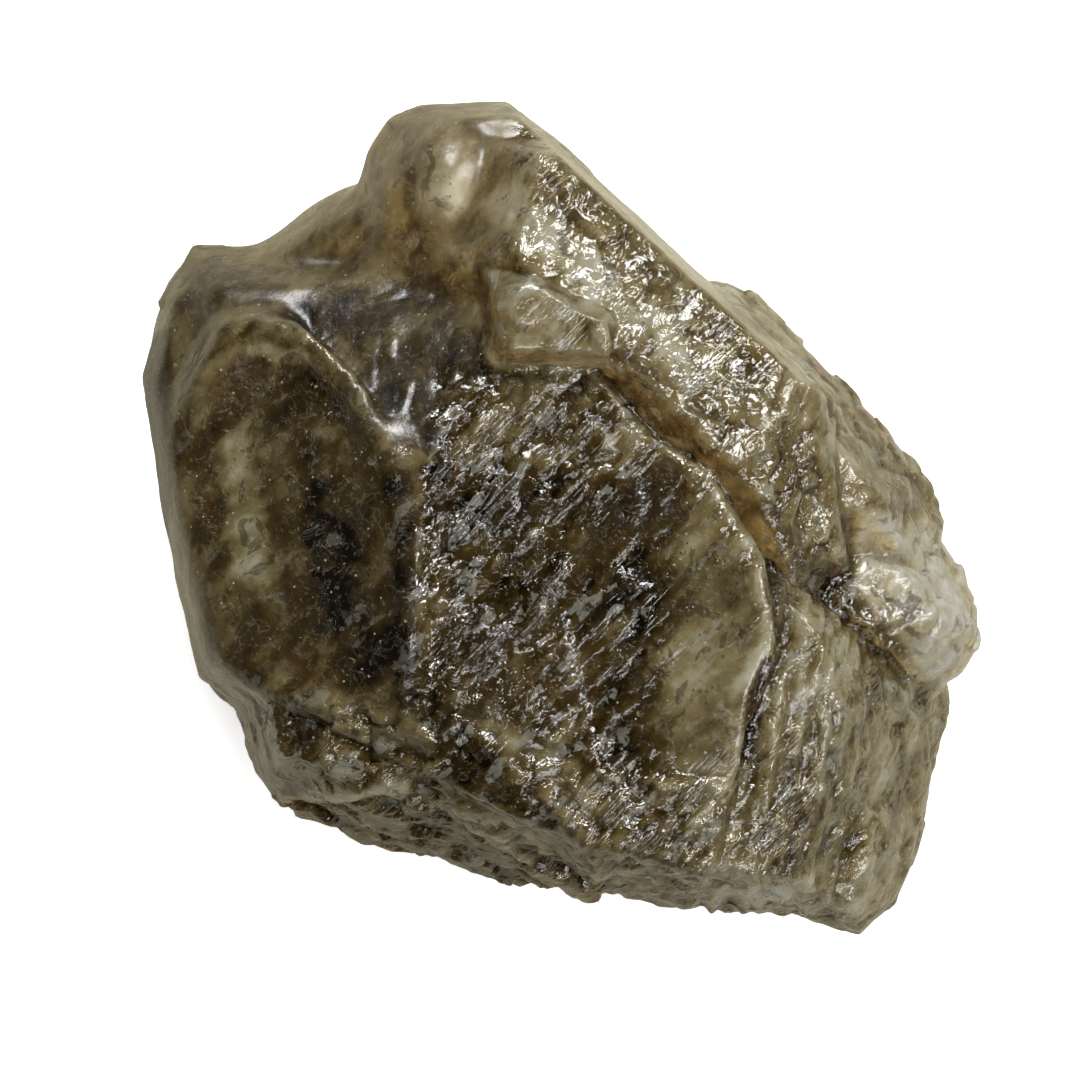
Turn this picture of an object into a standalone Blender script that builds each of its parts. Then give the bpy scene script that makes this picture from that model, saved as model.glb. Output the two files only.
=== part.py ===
"""Smoky quartz crystal: a compact, doubly ended crystal with side growths, lying on its flat underside.

The stone grew as one piece, so it is one solid. It is built the way a crystallographer would describe it:
a few growths that run together, each bounded by flat facets. A facet is given by its bearing on the table
(degrees, anticlockwise from +X), its tilt (0 is an upright wall, 90 faces up, -90 faces down) and one
point that it passes through, in millimetres. The c-axis of the whole stone lies level, on C_AXIS.
"""

import math

import bmesh
import bpy
from mathutils import Matrix, Vector

MM = 0.001

# Driving dimensions, in millimetres and degrees.
SPAN = 62.0  # across the stone, both ways
TOP = 33.5  # height of the large prism face above the table
C_AXIS = -44.0  # bearing of the c-axis, along which the prism edges run
UPHILL = C_AXIS + 90.0  # bearing of the prism walls on the far side
DOWNHILL = C_AXIS - 90.0  # bearing of the prism walls on the near side
ROUNDING = 0.35  # radius of the worn edges
SLIVER = 0.01  # anything thinner than this is closed up
SHARP = 35.0  # edges that turn by more than this stay sharp in the shading
DOWN = -90.0

SMOKE = (0.115, 0.085, 0.052, 1.0)


def direction(bearing, tilt):
    """The outward normal of a facet."""
    b, t = math.radians(bearing), math.radians(tilt)
    return Vector((math.cos(b) * math.cos(t), math.sin(b) * math.cos(t), math.sin(t)))


def cut(bm, bearing, tilt, through):
    """Slices away everything outside one facet and closes the cut."""
    normal = direction(bearing, tilt)
    geometry = bm.verts[:] + bm.edges[:] + bm.faces[:]
    made = bmesh.ops.bisect_plane(
        bm,
        geom=geometry,
        dist=1e-4,
        plane_co=Vector(through),
        plane_no=normal,
        clear_outer=True,
    )
    rim = [e for e in made["geom_cut"] if isinstance(e, bmesh.types.BMEdge)]
    if rim:
        bmesh.ops.edgeloop_fill(bm, edges=rim)


def rounded(bm, rounding):
    """The same convex growth with its edges worn round."""
    merge_flat(bm)
    bmesh.ops.bevel(
        bm,
        geom=bm.edges[:],
        offset=rounding,
        segments=2,
        profile=0.5,
        affect="EDGES",
        clamp_overlap=True,
    )
    worn = bmesh.new()
    for vert in bm.verts:
        worn.verts.new(vert.co)
    bm.free()
    bmesh.ops.convex_hull(worn, input=worn.verts[:])
    inner = [v for v in worn.verts if not v.link_faces]
    bmesh.ops.delete(worn, geom=inner, context="VERTS")
    return worn


def merge_flat(bm):
    """Joins faces that lie in one plane."""
    bmesh.ops.dissolve_limit(bm, angle_limit=math.radians(1), verts=bm.verts, edges=bm.edges)


def finished(bm, name):
    """Makes a growth an object, still in millimetres."""
    merge_flat(bm)
    bmesh.ops.recalc_face_normals(bm, faces=bm.faces)
    mesh = bpy.data.meshes.new(name)
    bm.to_mesh(mesh)
    bm.free()
    mesh.shade_smooth()
    mesh.set_sharp_from_angle(angle=math.radians(SHARP))
    made = bpy.data.objects.new(name, mesh)
    bpy.context.scene.collection.objects.link(made)
    return made


def growth(name, facets, rounding=ROUNDING):
    """A convex growth: a large block cut down by its facets."""
    bm = bmesh.new()
    bmesh.ops.create_cube(bm, size=3 * SPAN)
    for bearing, tilt, through in facets:
        cut(bm, bearing, tilt, through)
    return finished(rounded(bm, rounding), name)


def plate(name, outline, floor, facets, rim=0.0, sink=0.0):
    """A growth layer: an outline raised from floor, cut by its facets, with a sunk window inside its rim."""
    bm = bmesh.new()
    corners = [bm.verts.new((x, y, floor)) for x, y in outline]
    base = bm.faces.new(corners)
    raised = bmesh.ops.extrude_face_region(bm, geom=[base])["geom"]
    lifted = [v for v in raised if isinstance(v, bmesh.types.BMVert)]
    bmesh.ops.translate(bm, verts=lifted, vec=Vector((0, 0, SPAN)))
    bmesh.ops.recalc_face_normals(bm, faces=bm.faces)
    for bearing, tilt, through in facets:
        cut(bm, bearing, tilt, through)
    if rim:
        bm.normal_update()
        top = max(bm.faces, key=lambda f: f.normal.z * f.calc_area())
        bmesh.ops.inset_region(bm, faces=[top], thickness=rim)
        bmesh.ops.inset_region(bm, faces=[top], thickness=abs(sink), depth=-sink)
    return finished(bm, name)


def arc(centre, radius, start, end, steps):
    """Points round an arc, from the start bearing to the end bearing."""
    turns = [math.radians(start + (end - start) * i / steps) for i in range(steps + 1)]
    return [
        (centre[0] + radius * math.cos(a), centre[1] + radius * math.sin(a))
        for a in turns
    ]


def waist(bearing, above, below, through):
    """An outer wall: it leans in by above degrees over the stone's waist, and tucks under by below degrees."""
    return [(bearing, above, through), (bearing, -below, through)]


def main_crystal():
    """The large crystal that carries the rest: level prism face, two ends and the flat underside."""
    return growth(
        "main_crystal",
        [
            (DOWNHILL, 87, (0, -3, TOP)),
            (-25, 71, (14, -9, TOP + 0.3)),
            (-6, 38, (22.3, -20, 29.2)),
            (229, 62, (-4, -17, 33)),
            (240, 34, (-4.5, -20.8, 31)),
            (UPHILL, 30, (8, 8, TOP + 0.2)),
            (136, 60, (-8, 9, TOP - 0.5)),
            (182, 68, (-10, -3, TOP)),
            *waist(187, 10, 23, (-30.4, 5, 17)),
            *waist(192, 12, 26, (-28.5, -6, 17)),
            *waist(164, 13, 24, (-30.4, 13, 17)),
            *waist(150, 16, 26, (-28.9, 17.8, 17)),
            *waist(132, 22, 28, (-27.8, 19.2, 17)),
            *waist(96, 26, 23, (-23, 20.4, 16)),
            *waist(214, 14, 28, (-26, -13.8, 16)),
            *waist(240, 12, 27, (-14, -20, 15)),
            *waist(255, 13, 27, (2.5, -27.2, 15)),
            *waist(265, 12, 26, (12, -28.9, 15)),
            *waist(-64, 18, 26, (22.4, -30.2, 14)),
            *waist(-42, 24, 28, (24.2, -28.8, 14)),
            *waist(-14, 26, 29, (26.2, -25, 14)),
            *waist(-20, 28, 27, (28.4, -19, 14)),
            *waist(8, 26, 24, (29.0, -14.8, 14)),
            *waist(40, 20, 26, (24, -4, 14)),
            *waist(UPHILL, 4, 27, (14, 12, 14)),
            (0, DOWN, (0, 0, 0)),
        ],
    )


def ridge_crystal():
    """The parallel crystal along the far side, whose long sharp ridge overhangs a steep pale wall."""
    return growth(
        "ridge_crystal",
        [
            (UPHILL, 79, (8, 8, 36.2)),
            (DOWNHILL, 34, (8, 8, 36.2)),
            (159, 42, (-3.4, 20, 35.6)),
            (-12, 54, (15.6, 5, 34.9)),
            *waist(48, 5, 40, (4.6, 23.4, 20)),
            *waist(93, 16, 44, (-5, 30.3, 20)),
            *waist(6, 9, 40, (21.5, 0, 22)),
            *waist(-48, 26, 30, (21.6, -5, 24)),
            (DOWNHILL, -20, (0, 0, 12)),
            (160, -34, (-8, 22, 16)),
        ],
    )


def ledge_block():
    """The small squared block that stands at the near end of the ridge crystal."""
    return growth(
        "ledge_block",
        [
            (250, 80, (-1, 14, 37.6)),
            (181, 8, (-5.1, 14, 34)),
            (267, 12, (0, 11.3, 34)),
            (-8, 16, (3.9, 12.5, 35)),
            (64, 22, (-0.6, 17.2, 35)),
            (96, 16, (-3, 17.9, 34)),
            (225, -40, (-2, 12, 27)),
            (0, DOWN, (0, 0, 27)),
        ],
        rounding=0.25,
    )


def knob():
    """The blunt knob at the far left end of the ridge crystal."""
    return growth(
        "knob",
        [
            (118, 76, (-9, 25, 30.2)),
            (250, 48, (-9, 19.4, 29.4)),
            (204, 52, (-12.6, 22.5, 28.0)),
            (-30, 44, (-1.6, 22, 32)),
            *waist(92, 12, 60, (-7, 30.7, 22)),
            *waist(113, 18, 60, (-11.6, 30.1, 22)),
            *waist(140, 24, 60, (-14.2, 28.5, 21)),
            *waist(176, 18, 60, (-15.1, 26.4, 21)),
            *waist(48, 5, 60, (-3, 30.1, 20)),
            (262, -40, (-9, 19, 18)),
        ],
        rounding=0.9,
    )


def bulge():
    """The smooth drop-shaped swelling on the knob, widest at its far end."""
    bm = bmesh.new()
    bmesh.ops.create_icosphere(bm, subdivisions=3, radius=1.0)
    for vert in bm.verts:
        vert.co.x *= 0.78 + 0.34 * vert.co.y
    place = (
        Matrix.Translation((-8.2, 24.4, 27.9))
        @ Matrix.Rotation(math.radians(-10), 4, "Z")
        @ Matrix.Rotation(math.radians(7), 4, "X")
        @ Matrix.Diagonal((3.6, 4.9, 4.2, 1))
    )
    bmesh.ops.transform(bm, matrix=place, verts=bm.verts)
    return finished(bm, "bulge")


def shoulder():
    """The pale shoulder between the knob and the upper left corner."""
    return growth(
        "shoulder",
        [
            (120, 62, (-16, 22.6, 24)),
            (258, 44, (-15, 19.6, 24)),
            (10, 20, (-9, 22, 22)),
            *waist(118, 18, 60, (-18, 24.2, 17)),
            *waist(134, 20, 60, (-21.4, 21.9, 16)),
            *waist(100, 22, 60, (-15.6, 25.5, 17)),
            (170, 30, (-23, 20.6, 18)),
            (258, -30, (-16, 18, 10)),
        ],
        rounding=0.7,
    )


def crest():
    """The dark raised bar along the upper left edge."""
    return growth(
        "crest",
        [
            (96, 54, (-18, 20.3, 27.4)),
            (254, 68, (-18, 19.4, 27.6)),
            (262, 46, (-20, 15.6, 26.2)),
            (20, 44, (-9.6, 19, 27.6)),
            *waist(93, 24, 58, (-22, 20.6, 18)),
            *waist(150, 24, 58, (-28.4, 18.3, 18)),
            *waist(184, 30, 58, (-29.6, 15.6, 18)),
            (262, -40, (-20, 14.5, 18)),
        ],
        rounding=0.6,
    )


def back_crystal():
    """The thin clear crystal behind the ridge crystal, lower down."""
    return growth(
        "back_crystal",
        [
            (UPHILL, 68, (17, 11.5, 28.6)),
            (166, 24, (9.6, 15, 24)),
            *waist(44, 16, 56, (20, 11.1, 18)),
            *waist(86, 20, 56, (12, 17.8, 19)),
            *waist(62, 18, 56, (14.0, 16.9, 19)),
            *waist(36, 20, 56, (26.5, 4.2, 17)),
            *waist(8, 22, 56, (27.9, 1, 17)),
            (-70, 40, (26, -3, 24)),
            (DOWNHILL, -20, (4, 4, 12)),
        ],
    )


def pale_crystal():
    """The stubby clear crystal low on the right, worn round all over."""
    return growth(
        "pale_crystal",
        [
            (30, 74, (25.5, -5.5, 26.4)),
            (-52, 58, (28.4, -10, 24)),
            (96, 54, (24.5, 0.6, 24)),
            *waist(76, 22, 58, (26.4, -0.2, 18)),
            *waist(50, 24, 58, (28.6, -1.7, 17)),
            *waist(28, 22, 58, (30.1, -4.4, 17)),
            *waist(4, 20, 58, (30.9, -7.7, 17)),
            *waist(-26, 22, 58, (30.2, -10.6, 17)),
            *waist(-56, 24, 58, (28.7, -12.2, 17)),
            (DOWNHILL, 0, (20, -6, 12)),
        ],
        rounding=1.4,
    )


def near_lobe():
    """The greenish-grey lobe at the lower left, with its steep ragged near wall."""
    return growth(
        "near_lobe",
        [
            (214, 74, (-18, -16, 28.4)),
            (262, 30, (-14, -19.3, 27.4)),
            (154, 42, (-24.2, -11.8, 26.4)),
            (84, 46, (-20, -11.4, 29.4)),
            (24, 50, (-9.5, -15, 30)),
            *waist(197, 14, 58, (-23.3, -17.3, 16)),
            *waist(216, 14, 58, (-21.8, -20.2, 16)),
            *waist(246, 18, 58, (-18.5, -22.3, 15)),
            *waist(257, 18, 58, (-12, -24.6, 15)),
            (-30, 34, (-1, -22, 24)),
            (90, -40, (-15, -8, 14)),
        ],
        rounding=0.5,
    )


def near_spur():
    """The narrow spur between the near lobe and the near wall of the main crystal."""
    return growth(
        "near_spur",
        [
            (240, 56, (-6, -20.8, 28.6)),
            (247, 28, (-5, -22.6, 26)),
            (180, 30, (-13, -20, 22)),
            (40, 40, (-6, -17, 29)),
            (-34, 30, (4, -25, 24)),
            *waist(249, 18, 60, (-5.6, -26.6, 14)),
            *waist(-70, 20, 60, (-2.6, -26.9, 14)),
            *waist(228, 20, 60, (-12, -23.5, 14)),
            (60, -40, (-6, -14, 8)),
        ],
        rounding=0.5,
    )


def tip_lobe():
    """The rough nose at the lower right tip."""
    return growth(
        "tip_lobe",
        [
            (-60, 62, (20.5, -27, 23.4)),
            (-20, 42, (23.2, -24, 24)),
            (200, 34, (13, -28, 21)),
            (110, 40, (17, -24, 22)),
            (190, 20, (11, -28, 16)),
            *waist(253, 16, 58, (19.5, -30.1, 14)),
            *waist(-50, 18, 58, (23.4, -29.9, 14)),
            *waist(-22, 20, 58, (25.5, -27.2, 14)),
            *waist(6, 26, 58, (27.2, -21.5, 14)),
            (110, -40, (17, -20, 8)),
        ],
        rounding=0.5,
    )


def arch_layer():
    """The arched growth layer on the left end face, with a sunk window inside its rim."""
    left = [(-26.2, -11.5), (-29.2, 4), (-28.4, 9), (-26.2, 12.8)]
    crown = arc((-22.4, 10.0), 5.4, 122, 52, 5)
    right = [(-15.0, 10.4), (-11.8, 5.4), (-10.6, -3), (-11.0, -12.4), (-18, -13.4)]
    lift = 0.8
    return plate(
        "arch_layer",
        left + crown + right,
        22,
        [
            (182, 68, (-10, -3, TOP + lift)),
            (187, 30, (-28.6, 5, 25)),
            (192, 30, (-26.8, -6, 25)),
            (164, 30, (-28.2, 12, 25)),
            (214, 30, (-24.8, -12.2, 24)),
        ],
        rim=1.6,
        sink=0.8,
    )


def dome_layer():
    """The rounded layer on the prism face, which ends in a step on its right."""
    far = [(-8.6, 2), (-5.4, 6.2), (0.5, 7.4), (6, 6.2), (10.6, 3.2)]
    step = arc((2.5, -8.5), 12.9, 32, -32, 6)
    near = [(12.2, -18.8), (8.5, -21), (1, -18.4), (-6.5, -13), (-9.2, -6)]
    return plate("dome_layer", far + step + near, 27, [(208, 84.2, (14, -8, TOP + 0.93))])


def join(pieces, name):
    """One solid from the growths, by Boolean unions."""
    whole = pieces[0]
    whole.name = name
    for piece in pieces[1:]:
        union = whole.modifiers.new(f"with_{piece.name}", "BOOLEAN")
        union.operation = "UNION"
        union.solver = "EXACT"
        union.object = piece
    whole.modifiers.new("even_shading", "WEIGHTED_NORMAL").keep_sharp = True
    bpy.context.view_layer.update()
    graph = bpy.context.evaluated_depsgraph_get()
    joined = bpy.data.meshes.new_from_object(whole.evaluated_get(graph))
    whole.modifiers.clear()
    whole.data = joined
    for piece in pieces[1:]:
        bpy.data.objects.remove(piece)
    return whole


def clean(stone):
    """Closes up the hair-thin slivers that the unions leave where facets nearly meet."""
    bm = bmesh.new()
    bm.from_mesh(stone.data)
    bmesh.ops.remove_doubles(bm, verts=bm.verts, dist=SLIVER)
    bmesh.ops.dissolve_degenerate(bm, edges=bm.edges, dist=SLIVER)
    bm.to_mesh(stone.data)
    bm.free()


def settle(stone):
    """Puts the origin under the middle of the stone, on the table, and scales it to metres."""
    corners = [v.co for v in stone.data.vertices]
    low = [min(c[k] for c in corners) for k in range(3)]
    high = [max(c[k] for c in corners) for k in range(3)]
    middle = Vector(((low[0] + high[0]) / 2, (low[1] + high[1]) / 2, low[2]))
    stone.data.transform(Matrix.Scale(MM, 4) @ Matrix.Translation(-middle))


def smoky_quartz():
    """The stone's plain material."""
    material = bpy.data.materials.new("smoky_quartz")
    material.use_nodes = True
    shader = material.node_tree.nodes["Principled BSDF"]
    shader.inputs["Base Color"].default_value = SMOKE
    shader.inputs["Roughness"].default_value = 0.12
    shader.inputs["Metallic"].default_value = 0.0
    shader.inputs["IOR"].default_value = 1.544
    shader.inputs["Transmission Weight"].default_value = 0.4
    return material


def main():
    for leftover in list(bpy.data.objects):
        bpy.data.objects.remove(leftover)
    growths = [
        main_crystal(),
        ridge_crystal(),
        ledge_block(),
        knob(),
        bulge(),
        shoulder(),
        crest(),
        back_crystal(),
        pale_crystal(),
        near_lobe(),
        near_spur(),
        tip_lobe(),
        arch_layer(),
        dome_layer(),
    ]
    stone = join(growths, "smoky_quartz_crystal")
    clean(stone)
    settle(stone)
    stone.data.materials.clear()
    stone.data.materials.append(smoky_quartz())


main()
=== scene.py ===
"""A smoky quartz crystal on a pale studio floor.

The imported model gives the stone's size, place and facets. This script adds what a mineral collector looks
for: growth steps and furrows in the skin, clouded brown quartz with smoke and flaws in it, and a plain studio
stage. It is laid out as an add-on and run as a script. Lengths inside the stone's own functions are in
millimetres, measured from the middle of the stone's base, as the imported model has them.
"""

import math

import bmesh
import bpy
import numpy as np
from bpy.props import FloatProperty, FloatVectorProperty, PointerProperty
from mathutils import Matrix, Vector, noise


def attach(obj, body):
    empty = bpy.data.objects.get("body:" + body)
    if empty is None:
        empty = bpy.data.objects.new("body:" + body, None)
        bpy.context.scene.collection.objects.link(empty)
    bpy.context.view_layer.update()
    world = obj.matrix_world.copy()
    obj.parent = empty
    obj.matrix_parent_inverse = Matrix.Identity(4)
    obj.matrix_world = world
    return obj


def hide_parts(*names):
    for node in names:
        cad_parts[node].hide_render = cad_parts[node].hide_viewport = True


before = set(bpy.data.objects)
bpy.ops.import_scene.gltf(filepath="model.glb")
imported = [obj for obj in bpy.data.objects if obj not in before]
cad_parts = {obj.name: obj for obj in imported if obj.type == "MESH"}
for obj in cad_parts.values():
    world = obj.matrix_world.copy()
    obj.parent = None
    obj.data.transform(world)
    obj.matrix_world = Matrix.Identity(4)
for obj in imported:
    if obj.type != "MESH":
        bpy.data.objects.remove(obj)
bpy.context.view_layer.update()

bl_info = {
    "name": "Smoky Quartz Studio",
    "version": (1, 0, 0),
    "blender": (4, 5, 0),
    "location": "3D View > Sidebar > Quartz",
    "description": "Grows the skin and glass of a smoky quartz crystal and sets a studio stage round it",
    "category": "Object",
}

MM = 0.001
HALF = Vector((0.5, 0.5, 0.5))
NODE = "smoky_quartz_crystal"
SLOT = "smoky_quartz"

# The quartz's index of refraction, and how much of the light that meets its skin goes in.
QUARTZ_IOR = 1.544
LIGHT_LET_THROUGH = 0.75

# The stone's own directions, as bearings on the table in degrees.
C_AXIS = -44.0
ACROSS = C_AXIS + 90.0

# Where the ridge's crest runs, as a distance from the stone's middle along ACROSS, in millimetres.
RIDGE_LINE = 19.5


# ---------------------------------------------------------------- settings


class QuartzStone(bpy.types.PropertyGroup):
    """Sizes and colours of the stone."""

    grain: FloatProperty(
        name="Grain",
        description="Distance between the points of the skin",
        default=0.31 * MM,
        unit="LENGTH",
        precision=5,
    )
    wear: FloatProperty(
        name="Edge wear",
        description="How far the natural edges are worn round",
        default=0.25 * MM,
        unit="LENGTH",
        precision=5,
    )
    furrow_depth: FloatProperty(
        name="Furrow depth",
        description="Depth of the furrows beside the rounded layer",
        default=0.6 * MM,
        unit="LENGTH",
        precision=5,
    )
    smoke: FloatVectorProperty(
        name="Smoke",
        description="Colour of the light that a little of the quartz lets through",
        default=(0.78, 0.64, 0.36),
        subtype="COLOR",
        size=3,
    )
    smoke_density: FloatProperty(
        name="Smoke density",
        description="How strongly the quartz takes up light, per metre",
        default=85.0,
    )
    wisp: FloatVectorProperty(
        name="Wisps",
        description="Dark brown of the smoke bodies in the stone",
        default=(0.07, 0.05, 0.025),
        subtype="COLOR",
        size=3,
    )
    flake: FloatVectorProperty(
        name="Flakes",
        description="Grey of the flat flaws that scatter light",
        default=(0.52, 0.52, 0.42),
        subtype="COLOR",
        size=3,
    )


class QuartzStage(bpy.types.PropertyGroup):
    """Sizes and lights of the stage."""

    floor_size: FloatProperty(
        name="Floor",
        description="Width of the round floor",
        default=2.4,
        unit="LENGTH",
    )
    camera_height: FloatProperty(
        name="Camera height",
        description="Height of the camera above the floor",
        default=0.62,
        unit="LENGTH",
    )
    frame_width: FloatProperty(
        name="Frame width",
        description="Width that the camera takes in at the height of the stone's widest outline",
        default=0.080,
        unit="LENGTH",
    )


# ---------------------------------------------------------------- the stone's skin


def smooth_step(value, low, high):
    """0 below low, 1 above high, and a smooth rise between."""
    t = np.clip((value - low) / (high - low), 0.0, 1.0)
    return t * t * (3.0 - 2.0 * t)


def along(points, bearing):
    """How far each point lies along a bearing on the table."""
    angle = math.radians(bearing)
    return points[:, 0] * math.cos(angle) + points[:, 1] * math.sin(angle)


def lumps(points, size, octaves=3, seed=0, stretch=(1, 1, 1)):
    """Smooth noise, about -1 to 1; size is one lump's width and stretch its proportions."""
    shift = Vector((seed * 17.3, seed * 9.1, seed * 5.7))
    scaled = points / (size * np.array(stretch, float))
    return np.array([noise.fractal(Vector(p) + shift, 1.0, 2.0, octaves) for p in scaled])


def cells(points, size, seed=0):
    """Scattered cells: gap to the next cell, the cell's own value, and height of a plane of its own tilt."""
    shift = Vector((seed * 13.7, seed * 7.9, seed * 3.1))
    gap = np.empty(len(points))
    tone = np.empty(len(points))
    plane = np.empty(len(points))
    for i, p in enumerate(points / size):
        place = Vector(p) + shift
        distances, seeds = noise.voronoi(place)
        gap[i] = distances[1] - distances[0]
        tone[i] = noise.cell(seeds[0] * 31.0)
        plane[i] = (place - seeds[0]).dot(noise.cell_vector(seeds[0] * 17.0) - HALF) * 2.0 * size
    return gap, tone, plane


def turned(points, bearing):
    """The points in axes that lie along a bearing, across it and up."""
    return np.column_stack((along(points, bearing), along(points, bearing + 90.0), points[:, 2]))


def stairs(height, rise, softness=0.35):
    """Turns a smooth height into growth steps, each of the same rise."""
    level = np.floor(height / rise)
    rest = height / rise - level
    return (level + smooth_step(rest, 0.5 - softness / 2, 0.5 + softness / 2)) * rise


def within(points, outline, soft):
    """1 inside an outline on the table, 0 outside, and a smooth edge of width soft."""
    x, y = points[:, 0], points[:, 1]
    inside = np.zeros(len(points), bool)
    away = np.full(len(points), 1e9)
    for (x1, y1), (x2, y2) in zip(outline, outline[1:] + outline[:1]):
        dx, dy = x2 - x1, y2 - y1
        t = np.clip(((x - x1) * dx + (y - y1) * dy) / (dx * dx + dy * dy), 0, 1)
        away = np.minimum(away, np.hypot(x - x1 - t * dx, y - y1 - t * dy))
        crosses = (y1 > y) != (y2 > y)
        if dy:
            inside ^= crosses & (x < dx * (y - y1) / dy + x1)
    return smooth_step(np.where(inside, away, -away), -soft / 2, soft / 2)


# Zones of the upper side: outline on the table in millimetres, how light the quartz is there (0 smoky black,
# 1 milky; on the far facet a painted reflection), and how strongly the skin sparkles (below 0 it is dull).
ZONES = {
    "window_left": ([(-28, -11), (-29, 4), (-27, 11), (-22, 14), (-20, 4), (-19, -12)], 0.385, 0.02),
    "window_right": (
        [(-19, -12), (-20, 4), (-22, 14), (-17, 12), (-12, 6), (-10.5, -3), (-10.5, -13)], 0.36, 0.08,
    ),
    "recess": ([(-22, 15.5), (-9, 18), (-5, 11), (-9, 5), (-13, 6), (-17, 13)], 0.36, -0.05),
    "crest": ([(-29, 16), (-27, 20.4), (-20, 21), (-13, 21.5), (-9, 18.5), (-20, 16), (-27, 13)], 0.45, -0.2),
    "left_strip": ([(-31.5, 13), (-28.6, 14), (-28.4, 6), (-29.2, -4), (-31, 3)], 0.18, -0.1),
    "upper_prism": ([(-9, 11), (3, 11), (9, 6), (3, 3.4), (-9, 4)], 0.43, 0.6),
    "prism_left": ([(-10, -12), (-10, 4), (2, 4), (0, -6), (3, -18)], 0.30, 0.8),
    "prism_middle": ([(0, -6), (2, 4), (9, 4), (8, -8), (7, -19), (3, -18)], 0.25, 0.35),
    "dome": ([(9, 4), (15, 0), (15.3, -7), (12.5, -19), (7, -19), (8, -8)], 0.53, 0.12),
    "prism_low": ([(-3, -17), (3, -18), (12.5, -19), (10, -28), (3, -26.5)], 0.41, 0.8),
    "furrows": ([(15, 0), (24, -9), (22.5, -16), (21, -30), (10, -29), (12.5, -19), (15.3, -8)], 0.53, 0.8),
    "right_side": ([(24, -10), (30, -14), (27, -26), (22, -31), (21, -29), (22.5, -16)], 0.57, 0.35),
    "ridge": ([(4, 11), (-4, 19), (-3, 30), (14.7, 14), (18, 8), (21.5, -5), (12, 4)], 0.49, 0.55),
    "block": ([(-5, 18), (-5, 11.3), (4, 11.2), (4.4, 15)], 0.63, 0.25),
    "back": ([(11, 18.5), (15, 17), (28.5, 4), (29, -1), (21.5, 1), (19.5, 7)], 0.50, 0.3),
    # The far facet is painted nearly white: a painted reflection of the pale floor on this steep face.
    "far_facet": ([(2, 25), (17.8, 9.8), (20.3, 12.4), (4.5, 27.7)], 0.90, 0.0),
    "pale": ([(21.5, 1), (29, 0), (32, -7), (30, -13), (27, -11.5), (21.5, -5)], 0.86, 0.2),
    "knob": ([(-16, 26), (-12, 31.5), (-3, 31), (-3, 22), (-9, 19), (-13, 23)], 0.58, -0.15),
    "shoulder": ([(-22, 20.5), (-18, 25), (-14, 27), (-11, 22), (-15, 21)], 0.58, 0.1),
    "lobe": ([(-27, -12), (-23, -11), (-17, -13), (-18, -20), (-24, -21)], 0.28, 0.2),
    "lobe_end": ([(-17, -13), (-9, -15), (-9, -19), (-18, -20)], 0.42, 0.8),
    "ragged": ([(-24, -21), (-9, -19), (0, -24.5), (8, -28), (2, -28), (-20, -27)], 0.33, 0.5),
    "low_band": ([(-13, -12.5), (-9, -12.5), (4, -24), (3, -26.5), (-2, -22.5), (-9, -18)], 0.33, 0.4),
}
# Marks in the quartz, and painted shadow and shade along steps, the cleft and the bulge's sides: a line on
# the table, how wide it is, and how much lighter or darker it is.
MARKS_AND_PAINTED_SHADE = (
    (((-23.6, 5.0), (-22.6, -3.5)), 2.6, 0.28),
    (((-18.3, 5.5), (-17.6, -3.0)), 1.6, -0.17),
    (((-16.5, -2.0), (-14.5, -10.5)), 3.6, -0.17),
    (((-22.4, 12.6), (-18.6, 11.6)), 1.1, 0.30),
    (((-28.2, 3.0), (-27.0, -9.5)), 2.0, 0.13),
    (((-9.2, 6.0), (-8.6, 3.4)), 1.8, -0.22),
    (((-12.4, -8.6), (-9.0, -13.5), (-5.0, -16.5)), 2.2, -0.16),
    (((-16.8, 13.8), (-12.6, 6.4)), 1.4, 0.12),
    # Painted shadow in the cleft beside the rounded layer.
    (((15.0, -3.4), (15.9, -8.5), (14.0, -12.6), (13.6, -17.0)), 1.2, -0.22),
    (((14.4, -2.6), (14.6, -9.0), (12.6, -12.4), (12.4, -16.0)), 1.0, 0.13),
    (((12.0, -27.4), (17.0, -27.7)), 1.2, 0.42),
    (((-20.3, -20.2), (-13.0, -19.0), (-8.0, -20.4), (2.6, -28.2)), 0.9, 0.26),
    (((-25.6, -12.4), (-22.0, -12.6), (-17.4, -13.6)), 1.0, 0.16),
    (((-4.6, 11.2), (4.4, 10.9)), 0.9, 0.16),
    # Painted shadow along the foot of the ridge crystal's step.
    (((4.4, 10.4), (13.0, 2.6), (21.0, -6.6)), 1.3, -0.14),
    (((-3.6, 22.6), (2.0, 17.6), (9.5, 11.0)), 3.2, 0.26),
    (((-9.4, 24.0), (-7.8, 24.6)), 2.0, 0.10),
    # Painted shade along the left side of the long face.
    (((-11.8, 3.0), (-11.2, -4.0), (-11.2, -12.6)), 1.8, -0.16),
    (((-4.9, 17.8), (-4.9, 11.6)), 0.7, 0.14),
    (((-4.9, 17.9), (4.0, 15.2)), 0.7, 0.12),
    (((-5.6, 18.0), (-5.7, 11.0)), 0.8, -0.14),
    # Painted shade on both sides of the bulge.
    (((-11.3, 26.5), (-10.8, 21.4), (-9.2, 20.0)), 0.9, -0.14),
    (((-4.4, 26.0), (-7.4, 20.6)), 0.9, -0.10),
)
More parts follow.
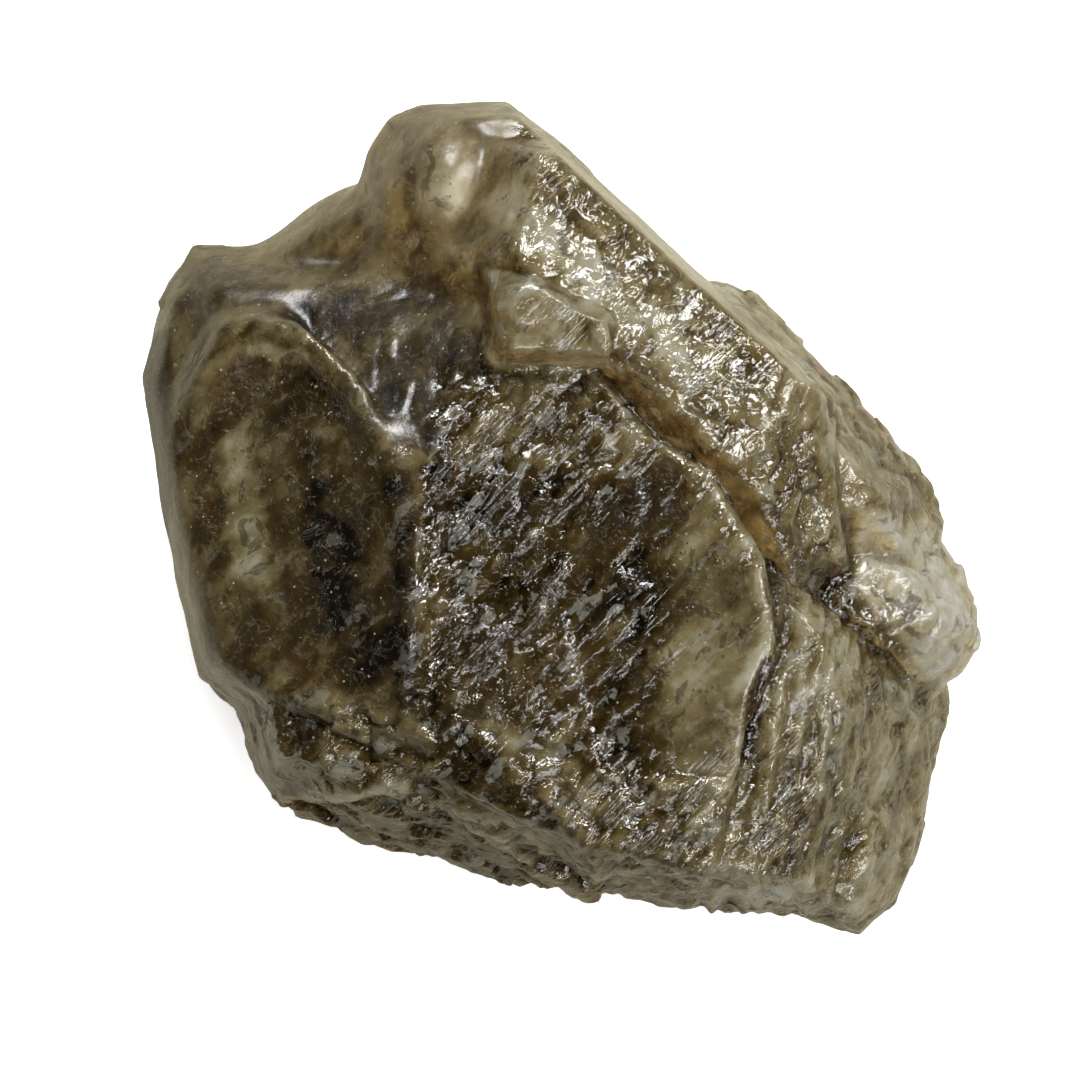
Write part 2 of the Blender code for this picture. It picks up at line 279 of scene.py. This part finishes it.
# Where the skin is crumpled into bright glints: a line on the table and how wide they lie about it.
GLINTS = (
    (((-8.4, -0.6), (-8.8, -4.0), (-7.6, -8.8)), 3.2),
    (((-10.2, -0.2), (-5.6, 5.0)), 1.3),
    (((-8.2, 7.1), (-5.2, 3.8)), 2.4),
    (((-1.8, 5.8), (2.2, 7.1), (6.2, 6.2)), 1.7),
    (((9.2, 4.6), (11.6, 1.0), (14.2, -2.4)), 2.6),
    (((-9.0, -9.4), (-4.5, -12.5), (0.4, -14.9)), 3.4),
    (((-2.4, -9.0), (1.6, -8.0)), 1.6),
    (((7.2, -18.2), (8.6, -22.0), (9.8, -25.8)), 4.2),
    (((14.6, -24.6), (17.8, -22.4), (21.2, -20.2)), 4.4),
    (((15.2, -7.0), (16.6, -10.4)), 2.0),
    (((9.4, 10.8), (11.6, 8.0)), 2.8),
    (((2.6, 17.4), (5.6, 14.2)), 1.6),
    (((-21.4, -13.2), (-19.2, -17.6)), 2.0),
    (((-17.4, 9.6), (-15.8, 7.0)), 1.4),
)
# Where the edges of the stone's layers are worn away: how strongly, and an outline on the table.
FADED_EDGES = (
    (
        1.0,
        [(-30, -13), (-30, 8), (-28, 15), (-21, 17), (-19.5, 13), (-23, 9), (-22, -6), (-11, -8), (-10, -13)],
    ),
    (1.0, [(-13.5, -15), (-13.5, 1), (-15, 7), (-12, 9), (-9.2, 4), (-9, -15)]),
    (1.0, [(-25, 13.5), (-26, 19), (-12, 20.5), (-4, 17), (-6, 8), (-11, 13), (-17, 15.5)]),
    (0.3, [(-13, 18), (-12.5, 27), (-8, 29), (-3.5, 26), (-3, 20), (-7, 17)]),
    (1.0, [(-24, 17.5), (-24, 24), (-17, 27.5), (-11.5, 28), (-11, 18)]),
)
# The sunk end face that runs out to the near lobe: its outline on the table, a point on it, and the bearing
# and tilt of the way it faces.
OPEN_END = [
    (-29.5, -13.5), (-30.5, 2), (-28, 9), (-24, 8), (-20, -6),
    (-13, -8), (-11.4, -10), (-11.4, -13.8), (-20, -14.5),
]
END_POINT = (-10.0, -3.0, 33.4)
END_FACING = (182.0, 68.0)

# Lines on the table: the cleft beside the rounded layer, and the near lobe's lip.
CLEFT = ((15.3, -3.6), (16.2, -8.6), (14.3, -12.8), (13.9, -17.0))
LOBE_LIP = ((-20.3, -20.2), (-13.0, -19.0), (-8.0, -20.4), (2.6, -28.2))

# How the tone is set: its shift and contrast, how far noise changes it, how far convex edges are painted
# lighter and creases darker (painted highlight and shade), how far raised relief is painted lighter and its
# hollows darker (painted highlight and shade), and what it and the sparkle are outside the zones.
TONE_SHIFT = 0.085
TONE_CONTRAST = 1.15
TONE_DRIFT = 0.16
TONE_FLOW = 0.18
EDGE_HIGHLIGHT_AND_CREASE_SHADE = 0.13
RELIEF_HIGHLIGHT_AND_SHADE = 0.06
UNDERSIDE_TONE = 0.52
UNDERSIDE_SPARKLE = 0.25

# How softly the zones run into each other, in millimetres, and the zones that do so more softly.
ZONE_EDGE = 1.0
WIDE_EDGES = {
    "dome": 5.0,
    "prism_middle": 4.0,
    "window_right": 3.0,
    "window_left": 2.0,
    "crest": 2.5,
    "shoulder": 2.5,
}

# Rounds of drawing the points together: to wear a layer's edge away, and to find the edges and creases that
# get painted highlight and shade.
FADING_ROUNDS = 70
EDGE_ROUNDS = 8


def beside(points, line, width):
    """1 on a line on the table, falling to 0 at its width."""
    away = np.full(len(points), 1e9)
    for (x1, y1), (x2, y2) in zip(line, line[1:]):
        dx, dy = x2 - x1, y2 - y1
        t = np.clip(((points[:, 0] - x1) * dx + (points[:, 1] - y1) * dy) / (dx * dx + dy * dy), 0, 1)
        away = np.minimum(away, np.hypot(points[:, 0] - x1 - t * dx, points[:, 1] - y1 - t * dy))
    return 1.0 - smooth_step(away, 0.2 * width, 0.75 * width)


def upper_side(points):
    """1 on the stone's upper side, 0 below its widest outline."""
    return smooth_step(points[:, 2], 12.0, 17.0)


def zone_weights(points):
    """How much each point belongs to each zone, by name; what is left over belongs to none."""
    upper = upper_side(points)
    return {
        name: within(points, outline, WIDE_EDGES.get(name, ZONE_EDGE)) * upper
        for name, (outline, _, _) in ZONES.items()
    }


def blended(weights, index, base):
    """One value of the zones, blended at their edges; base is its value outside them all."""
    total = 1e-6 + sum(weights.values())
    cover = np.minimum(total, 1.0)
    return cover * sum(w * ZONES[name][index] for name, w in weights.items()) / total + (1 - cover) * base


def wandering(points, size, reach, seed):
    """The points moved a little by noise, so that what is laid out by them gets a natural edge."""
    return points + reach * np.column_stack([lumps(points, size, 3, seed=seed + axis) for axis in range(3)])


def marked_and_shaded(points, tone):
    """The tone with the quartz's own marks and the painted shadows and shade along steps and edges laid over
    it, each with a slightly wandering edge.
    """
    wandered = wandering(points, 1.4, 0.5, 20)
    upper = smooth_step(points[:, 2], 10.0, 14.0)
    for line, width, change in MARKS_AND_PAINTED_SHADE:
        tone = tone + change * upper * beside(wandered, line, width)
    drift = lumps(points, 5.5, 4, seed=24)
    flow = lumps(turned(points, C_AXIS), 1.5, 5, seed=25, stretch=(0.9, 2.4, 1.5))
    return 0.5 + TONE_CONTRAST * (tone - 0.5 - TONE_SHIFT) + TONE_DRIFT * drift + TONE_FLOW * flow


def prism_relief(points, zone):
    """Growth terraces, scores and small shelves on the long face, and the rounded layer beside its cleft."""
    axial = turned(points, C_AXIS)
    prism = sum(zone[name] for name in ("upper_prism", "prism_left", "prism_middle", "prism_low", "low_band"))
    wavy = lumps(axial, 1.0, 4, seed=4, stretch=(3.0, 9.0, 6.0))
    terraces = stairs(0.05 * axial[:, 0] + 0.45 * wavy, 0.18, 0.2)
    scores = lumps(axial, 1.0, 3, seed=5, stretch=(0.7, 5.0, 3.0))
    gap, tone, plane = cells(turned(points, 52.0) / (2.8, 1.1, 2.0), 1.0, seed=12)
    shelf = (tone - 0.5) * smooth_step(gap, 0.03, 0.3) + 0.5 * plane
    patchy = 0.3 + 0.7 * smooth_step(lumps(points, 4.5, 3, seed=19), -0.2, 0.2)
    middle = zone["prism_middle"]
    high = prism * ((0.7 - 0.3 * middle) * terraces + patchy * 0.2 * scores)
    high += prism * 0.10 * lumps(points, 2.2, 3, seed=13)
    high += (0.5 * middle + zone["prism_low"]) * patchy * 0.5 * shelf
    high += zone["dome"] * (0.45 + 0.12 * lumps(points, 4.0, 2, seed=14))
    return high - 0.5 * beside(points, CLEFT, 1.6)


def furrow_relief(points, zone, furrow_depth):
    """Upright furrows with beads in them, beside the rounded layer."""
    upright = turned(points, 84.0)
    gullies = lumps(upright, 1.0, 3, seed=6, stretch=(5.0, 1.35, 6.0))
    beads = lumps(upright, 1.0, 2, seed=15, stretch=(1.7, 1.15, 1.4))
    beaded = zone["prism_low"] + 0.5 * zone["upper_prism"] + 0.4 * zone["prism_left"]
    return zone["furrows"] * furrow_depth * (gullies + 0.45 * beads) + beaded * 0.25 * beads


def chipped_relief(points, zone, chips):
    """Chips on the near lobe, the ridge crystal and the side crystals; the ridge's crest stays straight."""
    crestless = 1.0 - smooth_step(along(points, ACROSS), RIDGE_LINE - 1.8, RIDGE_LINE - 0.6)
    ragged = zone["ragged"] + zone["lobe_end"] + 0.3 * zone["lobe"] + 0.3 * zone["low_band"]
    lightly = 0.5 * zone["ridge"] + 0.2 * zone["recess"] + 0.25 * zone["block"] + 0.3 * zone["upper_prism"]
    outer = zone["back"] + zone["right_side"] + zone["pale"]
    high = ragged * (0.8 * chips + 0.25 * lumps(points, 2.4, 4, seed=8)) + 0.5 * beside(points, LOBE_LIP, 1.2)
    high += lightly * chips * crestless
    high += zone["ridge"] * 0.16 * lumps(points, 1.6, 3, seed=16) * crestless
    return high + outer * (0.2 * lumps(points, 2.4, 4, seed=10) + 0.45 * chips)


def underside_relief(points, zone, chips):
    """Growth steps on the walls outside the zones, and a fractured skin below the widest outline."""
    walls = 1.0 - np.minimum(sum(zone.values()), 1.0)
    steps = stairs(lumps(turned(points, C_AXIS), 6.0, 3, seed=11, stretch=(0.6, 1.6, 1.0)), 0.25)
    gap, tone, plane = cells(points, 7.5, seed=17)
    fractured = 1.0 - smooth_step(points[:, 2], 8.0, 13.0)
    broken = 0.30 * np.clip(plane, -2.0, 2.0) - 0.9 * tone * smooth_step(gap, 0.0, 0.1) + 0.3 * chips
    return walls * 0.35 * steps + fractured * (broken + 0.45 * lumps(points, 4.0, 4, seed=18))


def relief(points, zone, furrow_depth):
    """How far each point of the skin stands out of its facet, in millimetres."""
    gap, tone, plane = cells(points, 2.8, seed=7)
    chips = (0.5 - tone) * 0.35 * smooth_step(gap, 0.0, 0.12) + 0.5 * np.clip(plane, -0.6, 0.6)
    ripples = lumps(turned(points, 96.0), 1.0, 3, seed=9, stretch=(5.0, 1.5, 4.0))
    high = 0.14 * lumps(points, 8.0, 2, seed=1) + 0.04 * lumps(points, 1.7, 3, seed=2)
    high += prism_relief(points, zone)
    high += furrow_relief(points, zone, furrow_depth)
    high += chipped_relief(points, zone, chips)
    high += (zone["window_left"] + zone["window_right"]) * 0.10 * ripples
    high += underside_relief(points, zone, chips)
    return high


def opened(points):
    """The points with the end face's rim taken away on its outer side."""
    bearing, tilt = (math.radians(angle) for angle in END_FACING)
    level = math.cos(tilt)
    facing = np.array([math.cos(bearing) * level, math.sin(bearing) * level, math.sin(tilt)])
    above = (points - np.array(END_POINT)) @ facing
    share = within(points, OPEN_END, 2.5) * smooth_step(above, -1.2, 0.0) * (above < 1.4)
    return points - (share * above)[:, None] * facing


def softened(points, edges, weight, rounds):
    """The points drawn towards their neighbours where the weight is, which rounds off edges there."""
    ends = np.concatenate((edges, edges[:, ::-1]))
    count = np.bincount(ends[:, 0], minlength=len(points))[:, None]
    for _ in range(rounds):
        total = [np.bincount(ends[:, 0], points[ends[:, 1], axis], len(points)) for axis in range(3)]
        points = points + 0.7 * weight[:, None] * (np.column_stack(total) / count - points)
    return points


def remeshed(source, name, grain, wear):
    """A copy of a CAD solid with evenly spread points on its facets and lightly worn edges."""
    stone = bpy.data.objects.new(name, source.data.copy())
    bpy.context.scene.collection.objects.link(stone)
    stone.data.materials.clear()
    net = stone.modifiers.new("net", "REMESH")
    net.mode = "VOXEL"
    net.voxel_size = grain
    onto = stone.modifiers.new("onto_facets", "SHRINKWRAP")
    onto.target = source
    worn = stone.modifiers.new("worn", "SMOOTH")
    worn.factor = 0.5
    worn.iterations = max(1, round(wear / grain))
    bpy.context.view_layer.update()
    graph = bpy.context.evaluated_depsgraph_get()
    mesh = bpy.data.meshes.new_from_object(stone.evaluated_get(graph))
    stone.modifiers.clear()
    stone.data = mesh
    mesh.name = name
    return stone


def read(mesh, kind):
    """Positions or normals of a mesh's points, as an array."""
    values = np.empty(len(mesh.vertices) * 3)
    if kind == "co":
        mesh.vertices.foreach_get("co", values)
    else:
        mesh.vertex_normals.foreach_get("vector", values)
    return values.reshape(-1, 3)


def skin_masks(points, zone, edge, high):
    """What the material reads on each point: how light the quartz is, with painted highlight and shade on
    edges, creases, relief and marks laid in, and how its skin sparkles.
    """
    sparkle = blended(zone, 2, UNDERSIDE_SPARKLE)
    lively = np.maximum(sparkle, 0.0)
    axial = turned(points, C_AXIS)
    broken = lumps(axial, 1.3, 4, seed=26, stretch=(0.8, 1.8, 1.0))
    streaks = lumps(axial, 2.0, 3, seed=27, stretch=(1.0, 2.4, 1.0))
    wandered = wandering(points, 2.0, 0.6, 30)
    foil = np.max([beside(wandered, line, width) for line, width in GLINTS], axis=0)
    foil *= upper_side(points) * smooth_step(broken, -0.25, 0.0)
    return {
        # The tone carries painted highlight and shade: lighter on edges and raised relief, darker in creases
        # and hollows, and the shading marks.
        "tone": marked_and_shaded(points, blended(zone, 1, UNDERSIDE_TONE)) + EDGE_HIGHLIGHT_AND_CREASE_SHADE * edge + RELIEF_HIGHLIGHT_AND_SHADE * high,
        "sparkle": sparkle,
        "crumpled": np.maximum(foil, 0.8 * lively * smooth_step(broken, 0.34, 0.46)),
        "scored": lively * smooth_step(streaks, 0.15, 0.32),
    }


def carve(stone, furrow_depth):
    """Gives the skin its relief, flattens its base, and keeps the material's masks as attributes."""
    mesh = stone.data
    points = read(mesh, "co") / MM
    edges = np.empty(len(mesh.edges) * 2, np.int32)
    mesh.edges.foreach_get("vertices", edges)
    edges = edges.reshape(-1, 2)
    faded = sum(strength * within(points, outline, 3.0) for strength, outline in FADED_EDGES)
    faded = np.minimum(faded * upper_side(points), 1.0)
    points = softened(opened(points), edges, faded, FADING_ROUNDS)
    mesh.vertices.foreach_set("co", (points * MM).ravel())
    mesh.update()
    normals = read(mesh, "normal")
    zone = zone_weights(points)
    high = relief(points, zone, furrow_depth / MM) * smooth_step(points[:, 2], 0.2, 1.5)
    moved = points + normals * high[:, None]
    moved[:, 2] = np.maximum(moved[:, 2], 0.0)
    mesh.vertices.foreach_set("co", (moved * MM).ravel())
    # Convex edges are painted lighter and creases darker: a painted edge highlight and crease shade in the
    # tone.
    rounded = softened(moved, edges, np.ones(len(moved)), EDGE_ROUNDS)
    edge = np.clip(((moved - rounded) * normals).sum(axis=1) / 0.16, -1.0, 1.0)
    for name, values in skin_masks(points, zone, edge, high).items():
        mask = mesh.attributes.new(name, "FLOAT", "POINT")
        mask.data.foreach_set("value", values.astype(np.float32))
    mesh.shade_smooth()
    mesh.update()


# ---------------------------------------------------------------- materials


# Colour of the quartz by how light it is.
QUARTZ_TONES = (
    (0.0, (0.010, 0.006, 0.001)),
    (0.25, (0.100, 0.062, 0.016)),
    (0.5, (0.36, 0.285, 0.125)),
    (0.75, (0.72, 0.66, 0.44)),
    (1.0, (0.97, 0.96, 0.86)),
)
SMOKE_RIM = (0.62, 0.57, 0.42)
THREAD = (0.75, 0.72, 0.60)
PALE_SPECK = (0.85, 0.82, 0.70)
BLACK_PIT = (0.02, 0.015, 0.008)

# What the skin keeps on its points for the material.
MASKS = ("tone", "sparkle", "crumpled", "scored")


def rgba(colour):
    """A colour with full alpha."""
    return (*colour, 1.0)


class Nodes:
    """A short way to build a node tree: each call adds its nodes and returns the last one's output."""

    def __init__(self, tree):
        self.tree = tree

    def plug(self, socket, value):
        """Links a value into a socket, or sets it there."""
        if isinstance(value, bpy.types.NodeSocket):
            self.tree.links.new(value, socket)
        else:
            socket.default_value = value

    def add(self, kind, inputs=None, output=0, **settings):
        node = self.tree.nodes.new(kind)
        for key, value in settings.items():
            setattr(node, key, value)
        for key, value in (inputs or {}).items():
            self.plug(node.inputs[key], value)
        return node.outputs[output]

    def attribute(self, name):
        return self.add("ShaderNodeAttribute", attribute_name=name, output=2)

    def math(self, operation, a, b=0.5):
        return self.add("ShaderNodeMath", {0: a, 1: b}, operation=operation)

    def times(self, a, b):
        return self.math("MULTIPLY", a, b)

    def plus(self, *terms):
        total = terms[0]
        for term in terms[1:]:
            total = self.math("ADD", total, term)
        return total

    def less(self, a, b):
        return self.math("SUBTRACT", a, b)

    def ramp(self, value, low, high):
        """0 to 1 as the value goes from low to high."""
        inputs = {"Value": value, "From Min": low, "From Max": high}
        return self.add("ShaderNodeMapRange", inputs, interpolation_type="SMOOTHSTEP")

    def near(self, value, middle, width):
        """1 where the value is at its middle, 0 beyond a width from it."""
        away = self.math("ABSOLUTE", self.less(value, middle))
        return self.less(1.0, self.ramp(away, 0.0, width))

    def mix(self, factor, a, b):
        return self.add("ShaderNodeMix", {0: factor, 6: a, 7: b}, output=2, data_type="RGBA")

    def colours(self, value, stops):
        """A colour by value, blended between stops."""
        colour = self.add("ShaderNodeValToRGB", {0: value})
        elements = colour.node.color_ramp.elements
        while len(elements) < len(stops):
            elements.new(0.5)
        for element, (position, stop) in zip(elements, stops):
            element.position = position
            element.color = rgba(stop)
        return colour

    def spread(self, vector, size, seed, stretch=(1, 1, 1)):
        """A vector that repeats a texture at a size, with proportions and a place of its own."""
        scale = tuple(1 / (size * part) for part in stretch)
        inputs = {"Vector": vector, "Scale": scale, "Location": (seed, 0.7 * seed, 0.3 * seed)}
        return self.add("ShaderNodeMapping", inputs)

    def cloud(self, vector, size, seed, detail=4.0, rough=0.55, warp=0.0, stretch=(1, 1, 1)):
        """Soft noise."""
        moved = self.spread(vector, size, seed, stretch)
        inputs = {"Vector": moved, "Scale": 1.0, "Detail": detail, "Roughness": rough, "Distortion": warp}
        return self.add("ShaderNodeTexNoise", inputs)

    def grains(self, vector, size, seed, stretch=(1, 1, 1)):
        """Scattered cells: their node and the vector that it reads."""
        moved = self.spread(vector, size, seed, stretch)
        return self.add("ShaderNodeTexVoronoi", {"Vector": moved, "Scale": 1.0}).node, moved

    def own_value(self, node):
        """A value of its own for each of a node's cells."""
        return self.add("ShaderNodeSeparateColor", {"Color": node.outputs["Color"]})

    def tilted(self, vector, size, seed, stretch=(1, 1, 1)):
        """Height of small planes, each with a tilt of its own, so that each catches a light on its own."""
        node, moved = self.grains(vector, size, seed, stretch)
        from_middle = {0: moved, 1: node.outputs["Position"]}
        from_grey = {0: node.outputs["Color"], 1: tuple(HALF)}
        offset = self.add("ShaderNodeVectorMath", from_middle, operation="SUBTRACT")
        tilt = self.add("ShaderNodeVectorMath", from_grey, operation="SUBTRACT")
        rise = self.add("ShaderNodeVectorMath", {0: offset, 1: tilt}, operation="DOT_PRODUCT", output=1)
        return self.times(rise, 2.0 * size)


def quartz_colour(n, mm, axial, tone, sparkle, mottle, settings):
    """Clouded brown by tone, with smoke bodies, grey flakes, pale threads, pale specks and black pits."""
    colour = n.colours(n.plus(tone, n.times(n.less(mottle, 0.5), 0.25)), QUARTZ_TONES)

    body = n.cloud(mm, 3.0, 11.4, 4.0, 0.62, 1.2)
    colour = n.mix(n.times(n.ramp(body, 0.56, 0.60), 0.6), colour, rgba(settings.wisp))
    colour = n.mix(n.times(n.near(body, 0.553, 0.008), 0.3), colour, rgba(SMOKE_RIM))

    flakes, _ = n.grains(axial, 1.0, 6.6, (0.8, 1.9, 1.2))
    flake = n.times(n.ramp(n.own_value(flakes), 0.91, 0.92), n.ramp(mottle, 0.40, 0.54))
    shown = n.times(n.times(flake, 0.65), n.ramp(sparkle, -0.15, 0.45))
    colour = n.mix(shown, colour, rgba(settings.flake))

    thread = n.near(n.cloud(mm, 2.1, 5.7, 3.0, 0.6, 2.0), 0.5, 0.012)
    colour = n.mix(n.times(n.times(thread, n.ramp(mottle, 0.45, 0.55)), 0.5), colour, rgba(THREAD))

    specks, _ = n.grains(mm, 0.45, 2.9)
    value = n.own_value(specks)
    dot = n.less(1.0, n.ramp(specks.outputs["Distance"], 0.10, 0.25))
    colour = n.mix(n.times(dot, n.ramp(value, 0.90, 0.92)), colour, rgba(PALE_SPECK))
    pit = n.times(dot, n.ramp(value, 0.12, 0.10))
    return n.mix(n.times(pit, 0.9), colour, rgba(BLACK_PIT))


def quartz_bump(n, axial, sparkle, crumpled, scored, mottle):
    """Fine scores across the crystal's axis, and crumpled patches of small planes that glint."""
    crumple = n.tilted(axial, 0.38, 2.0, (0.7, 2.0, 1.0))
    score = n.cloud(axial, 0.25, 1.3, 1.0, 0.5, 0.2, (1.0, 16.0, 4.0))
    rise = n.plus(
        n.times(crumple, n.times(crumpled, 0.45)),
        n.times(score, n.times(scored, 0.4)),
        n.times(mottle, n.plus(n.times(sparkle, 0.12), 0.06)),
    )
    return n.add("ShaderNodeBump", {"Height": rise, "Strength": 1.0, "Distance": MM})


def quartz_material(settings):
    """Smoky quartz: brown glass, clouded near its skin, that takes up light with depth. Sizes are in mm."""
    material = bpy.data.materials.new(SLOT)
    material.use_nodes = True
    tree = material.node_tree
    tree.nodes.clear()
    n = Nodes(tree)
    place = n.add("ShaderNodeTexCoord", output=3)
    mm = n.add("ShaderNodeMapping", {"Vector": place, "Scale": (1 / MM, 1 / MM, 1 / MM)})
    axial = n.add("ShaderNodeMapping", {"Vector": mm, "Rotation": (0, 0, math.radians(-C_AXIS))})
    tone, sparkle, crumpled, scored = (n.attribute(name) for name in MASKS)
    mottle = n.cloud(mm, 0.7, 2.2, 3.0, 0.6, 0.4)
    lively = {"Value": n.plus(sparkle, crumpled), "From Min": -0.3, "From Max": 0.6}
    inputs = {
        "IOR": QUARTZ_IOR,
        "Transmission Weight": LIGHT_LET_THROUGH,
        "Roughness": n.add("ShaderNodeMapRange", {**lively, "To Min": 0.45, "To Max": 0.06}),
        "Base Color": quartz_colour(n, mm, axial, tone, sparkle, mottle, settings),
        "Normal": quartz_bump(n, axial, sparkle, crumpled, scored, mottle),
    }
    out = tree.nodes.new("ShaderNodeOutputMaterial")
    n.plug(out.inputs["Surface"], n.add("ShaderNodeBsdfPrincipled", inputs))
    smoke = {"Color": rgba(settings.smoke), "Density": settings.smoke_density}
    n.plug(out.inputs["Volume"], n.add("ShaderNodeVolumeAbsorption", smoke))
    return material


# ---------------------------------------------------------------- stage

# Softboxes: name, place, width and length in metres, and power in watts.
SOFTBOXES = (
    ("far_softbox", (-0.035, 0.37, 0.42), (0.20, 0.20), 4.0),
    ("right_softbox", (0.32, 0.10, 0.40), (0.10, 0.20), 1.7),
    ("near_softbox", (0.05, -0.34, 0.42), (0.28, 0.14), 1.0),
    ("corner_softbox", (0.28, -0.24, 0.42), (0.18, 0.18), 1.3),
)
LIT_SPOT = Vector((0.0, 0.0, 0.02))
PAPER_SEEN = (0.95, 0.95, 0.95)
PAPER_IN_STONE = (0.46, 0.42, 0.30)
PAPER_GLOW = 0.45
BACKDROP = (0.80, 0.80, 0.79)
CAMERA_PLACE = (-0.00152, -0.00141)
OUTLINE_HEIGHT = 0.017
SENSOR_WIDTH = 36.0


def floor_paper():
    """Pale paper that looks white and shadowless to the camera and warmer and darker to the stone."""
    paper = bpy.data.materials.new("floor_paper")
    paper.use_nodes = True
    n = Nodes(paper.node_tree)
    shader = paper.node_tree.nodes["Principled BSDF"]
    seen = n.add("ShaderNodeLightPath", output=0)
    shader.inputs["Roughness"].default_value = 0.6
    shader.inputs["Emission Color"].default_value = (1, 1, 1, 1)
    n.plug(shader.inputs["Base Color"], n.mix(seen, rgba(PAPER_IN_STONE), rgba(PAPER_SEEN)))
    n.plug(shader.inputs["Emission Strength"], n.times(seen, PAPER_GLOW))
    return paper


def round_floor(scene, size):
    """A round paper floor."""
    mesh = bpy.data.meshes.new("floor")
    bm = bmesh.new()
    bmesh.ops.create_circle(bm, cap_ends=True, segments=96, radius=size / 2)
    bm.to_mesh(mesh)
    bm.free()
    mesh.materials.append(floor_paper())
    floor = bpy.data.objects.new("floor", mesh)
    scene.collection.objects.link(floor)
    return floor


def studio_world():
    """Soft light that is stronger towards the horizon, and a pale backdrop for the camera."""
    world = bpy.data.worlds.new("studio")
    world.use_nodes = True
    nodes = world.node_tree.nodes
    n = Nodes(world.node_tree)
    up = n.add("ShaderNodeSeparateXYZ", {"Vector": n.add("ShaderNodeTexCoord", output=0)}, output=2)
    low_to_high = {"Value": up, "From Min": 0.55, "From Max": 0.8, "To Min": 0.32, "To Max": 0.03}
    n.plug(nodes["Background"].inputs["Strength"], n.add("ShaderNodeMapRange", low_to_high))
    backdrop = n.add("ShaderNodeBackground", {"Color": rgba(BACKDROP), "Strength": 1.0})
    seen = n.add("ShaderNodeLightPath", output=0)
    both = n.add("ShaderNodeMixShader", {0: seen, 1: nodes["Background"].outputs[0], 2: backdrop})
    n.plug(nodes["World Output"].inputs["Surface"], both)
    return world


def softbox(name, place, size, power):
    """A rectangular area light aimed at the stone."""
    lamp = bpy.data.lights.new(name, "AREA")
    lamp.shape = "RECTANGLE"
    lamp.size, lamp.size_y = size
    lamp.energy = power
    box = bpy.data.objects.new(name, lamp)
    box.location = place
    box.rotation_euler = (LIT_SPOT - Vector(place)).to_track_quat("-Z", "Y").to_euler()
    return box


def camera_above(height, width):
    """A camera that looks straight down and takes in a width at the height of the stone's widest outline."""
    lens = bpy.data.cameras.new("camera")
    lens.type = "PERSP"
    lens.sensor_width = SENSOR_WIDTH
    lens.lens = SENSOR_WIDTH * (height - OUTLINE_HEIGHT) / width
    camera = bpy.data.objects.new("camera", lens)
    camera.location = (*CAMERA_PLACE, height)
    return camera


# ---------------------------------------------------------------- operators


class QUARTZ_OT_grow_stone(bpy.types.Operator):
    """Grows the stone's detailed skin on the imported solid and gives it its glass"""

    bl_idname = "quartz.grow_stone"
    bl_label = "Grow the stone"

    def execute(self, context):
        settings = context.scene.quartz_stone
        stone = remeshed(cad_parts[NODE], "crystal", settings.grain, settings.wear)
        carve(stone, settings.furrow_depth)
        stone.data.materials.append(quartz_material(settings))
        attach(stone, "root")
        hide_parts(NODE)
        return {"FINISHED"}


class QUARTZ_OT_set_stage(bpy.types.Operator):
    """Sets the pale floor, the soft lights and the camera above the stone"""

    bl_idname = "quartz.set_stage"
    bl_label = "Set the stage"

    def execute(self, context):
        settings = context.scene.quartz_stage
        scene = context.scene
        scene.view_settings.view_transform = "Standard"
        floor = round_floor(scene, settings.floor_size)
        scene.world = studio_world()
        for name, place, size, power in SOFTBOXES:
            scene.collection.objects.link(softbox(name, place, size, power))
        camera = camera_above(settings.camera_height, settings.frame_width)
        scene.collection.objects.link(camera)
        scene.camera = camera
        return {"FINISHED"}


class QUARTZ_PT_panel(bpy.types.Panel):
    """Lists the stone's and the stage's settings and operators."""

    bl_label = "Smoky quartz"
    bl_space_type = "VIEW_3D"
    bl_region_type = "UI"
    bl_category = "Quartz"

    def draw(self, context):
        for group, button in (("quartz_stone", "quartz.grow_stone"), ("quartz_stage", "quartz.set_stage")):
            box = self.layout.box()
            settings = getattr(context.scene, group)
            for name in settings.__annotations__:
                box.prop(settings, name)
            box.operator(button)


CLASSES = (QuartzStone, QuartzStage, QUARTZ_OT_grow_stone, QUARTZ_OT_set_stage, QUARTZ_PT_panel)


def register():
    for cls in CLASSES:
        bpy.utils.register_class(cls)
    bpy.types.Scene.quartz_stone = PointerProperty(type=QuartzStone)
    bpy.types.Scene.quartz_stage = PointerProperty(type=QuartzStage)


def unregister():
    del bpy.types.Scene.quartz_stage
    del bpy.types.Scene.quartz_stone
    for cls in reversed(CLASSES):
        bpy.utils.unregister_class(cls)


def main():
    register()
    bpy.ops.quartz.grow_stone()
    bpy.ops.quartz.set_stage()


if __name__ == "__main__":
    main()
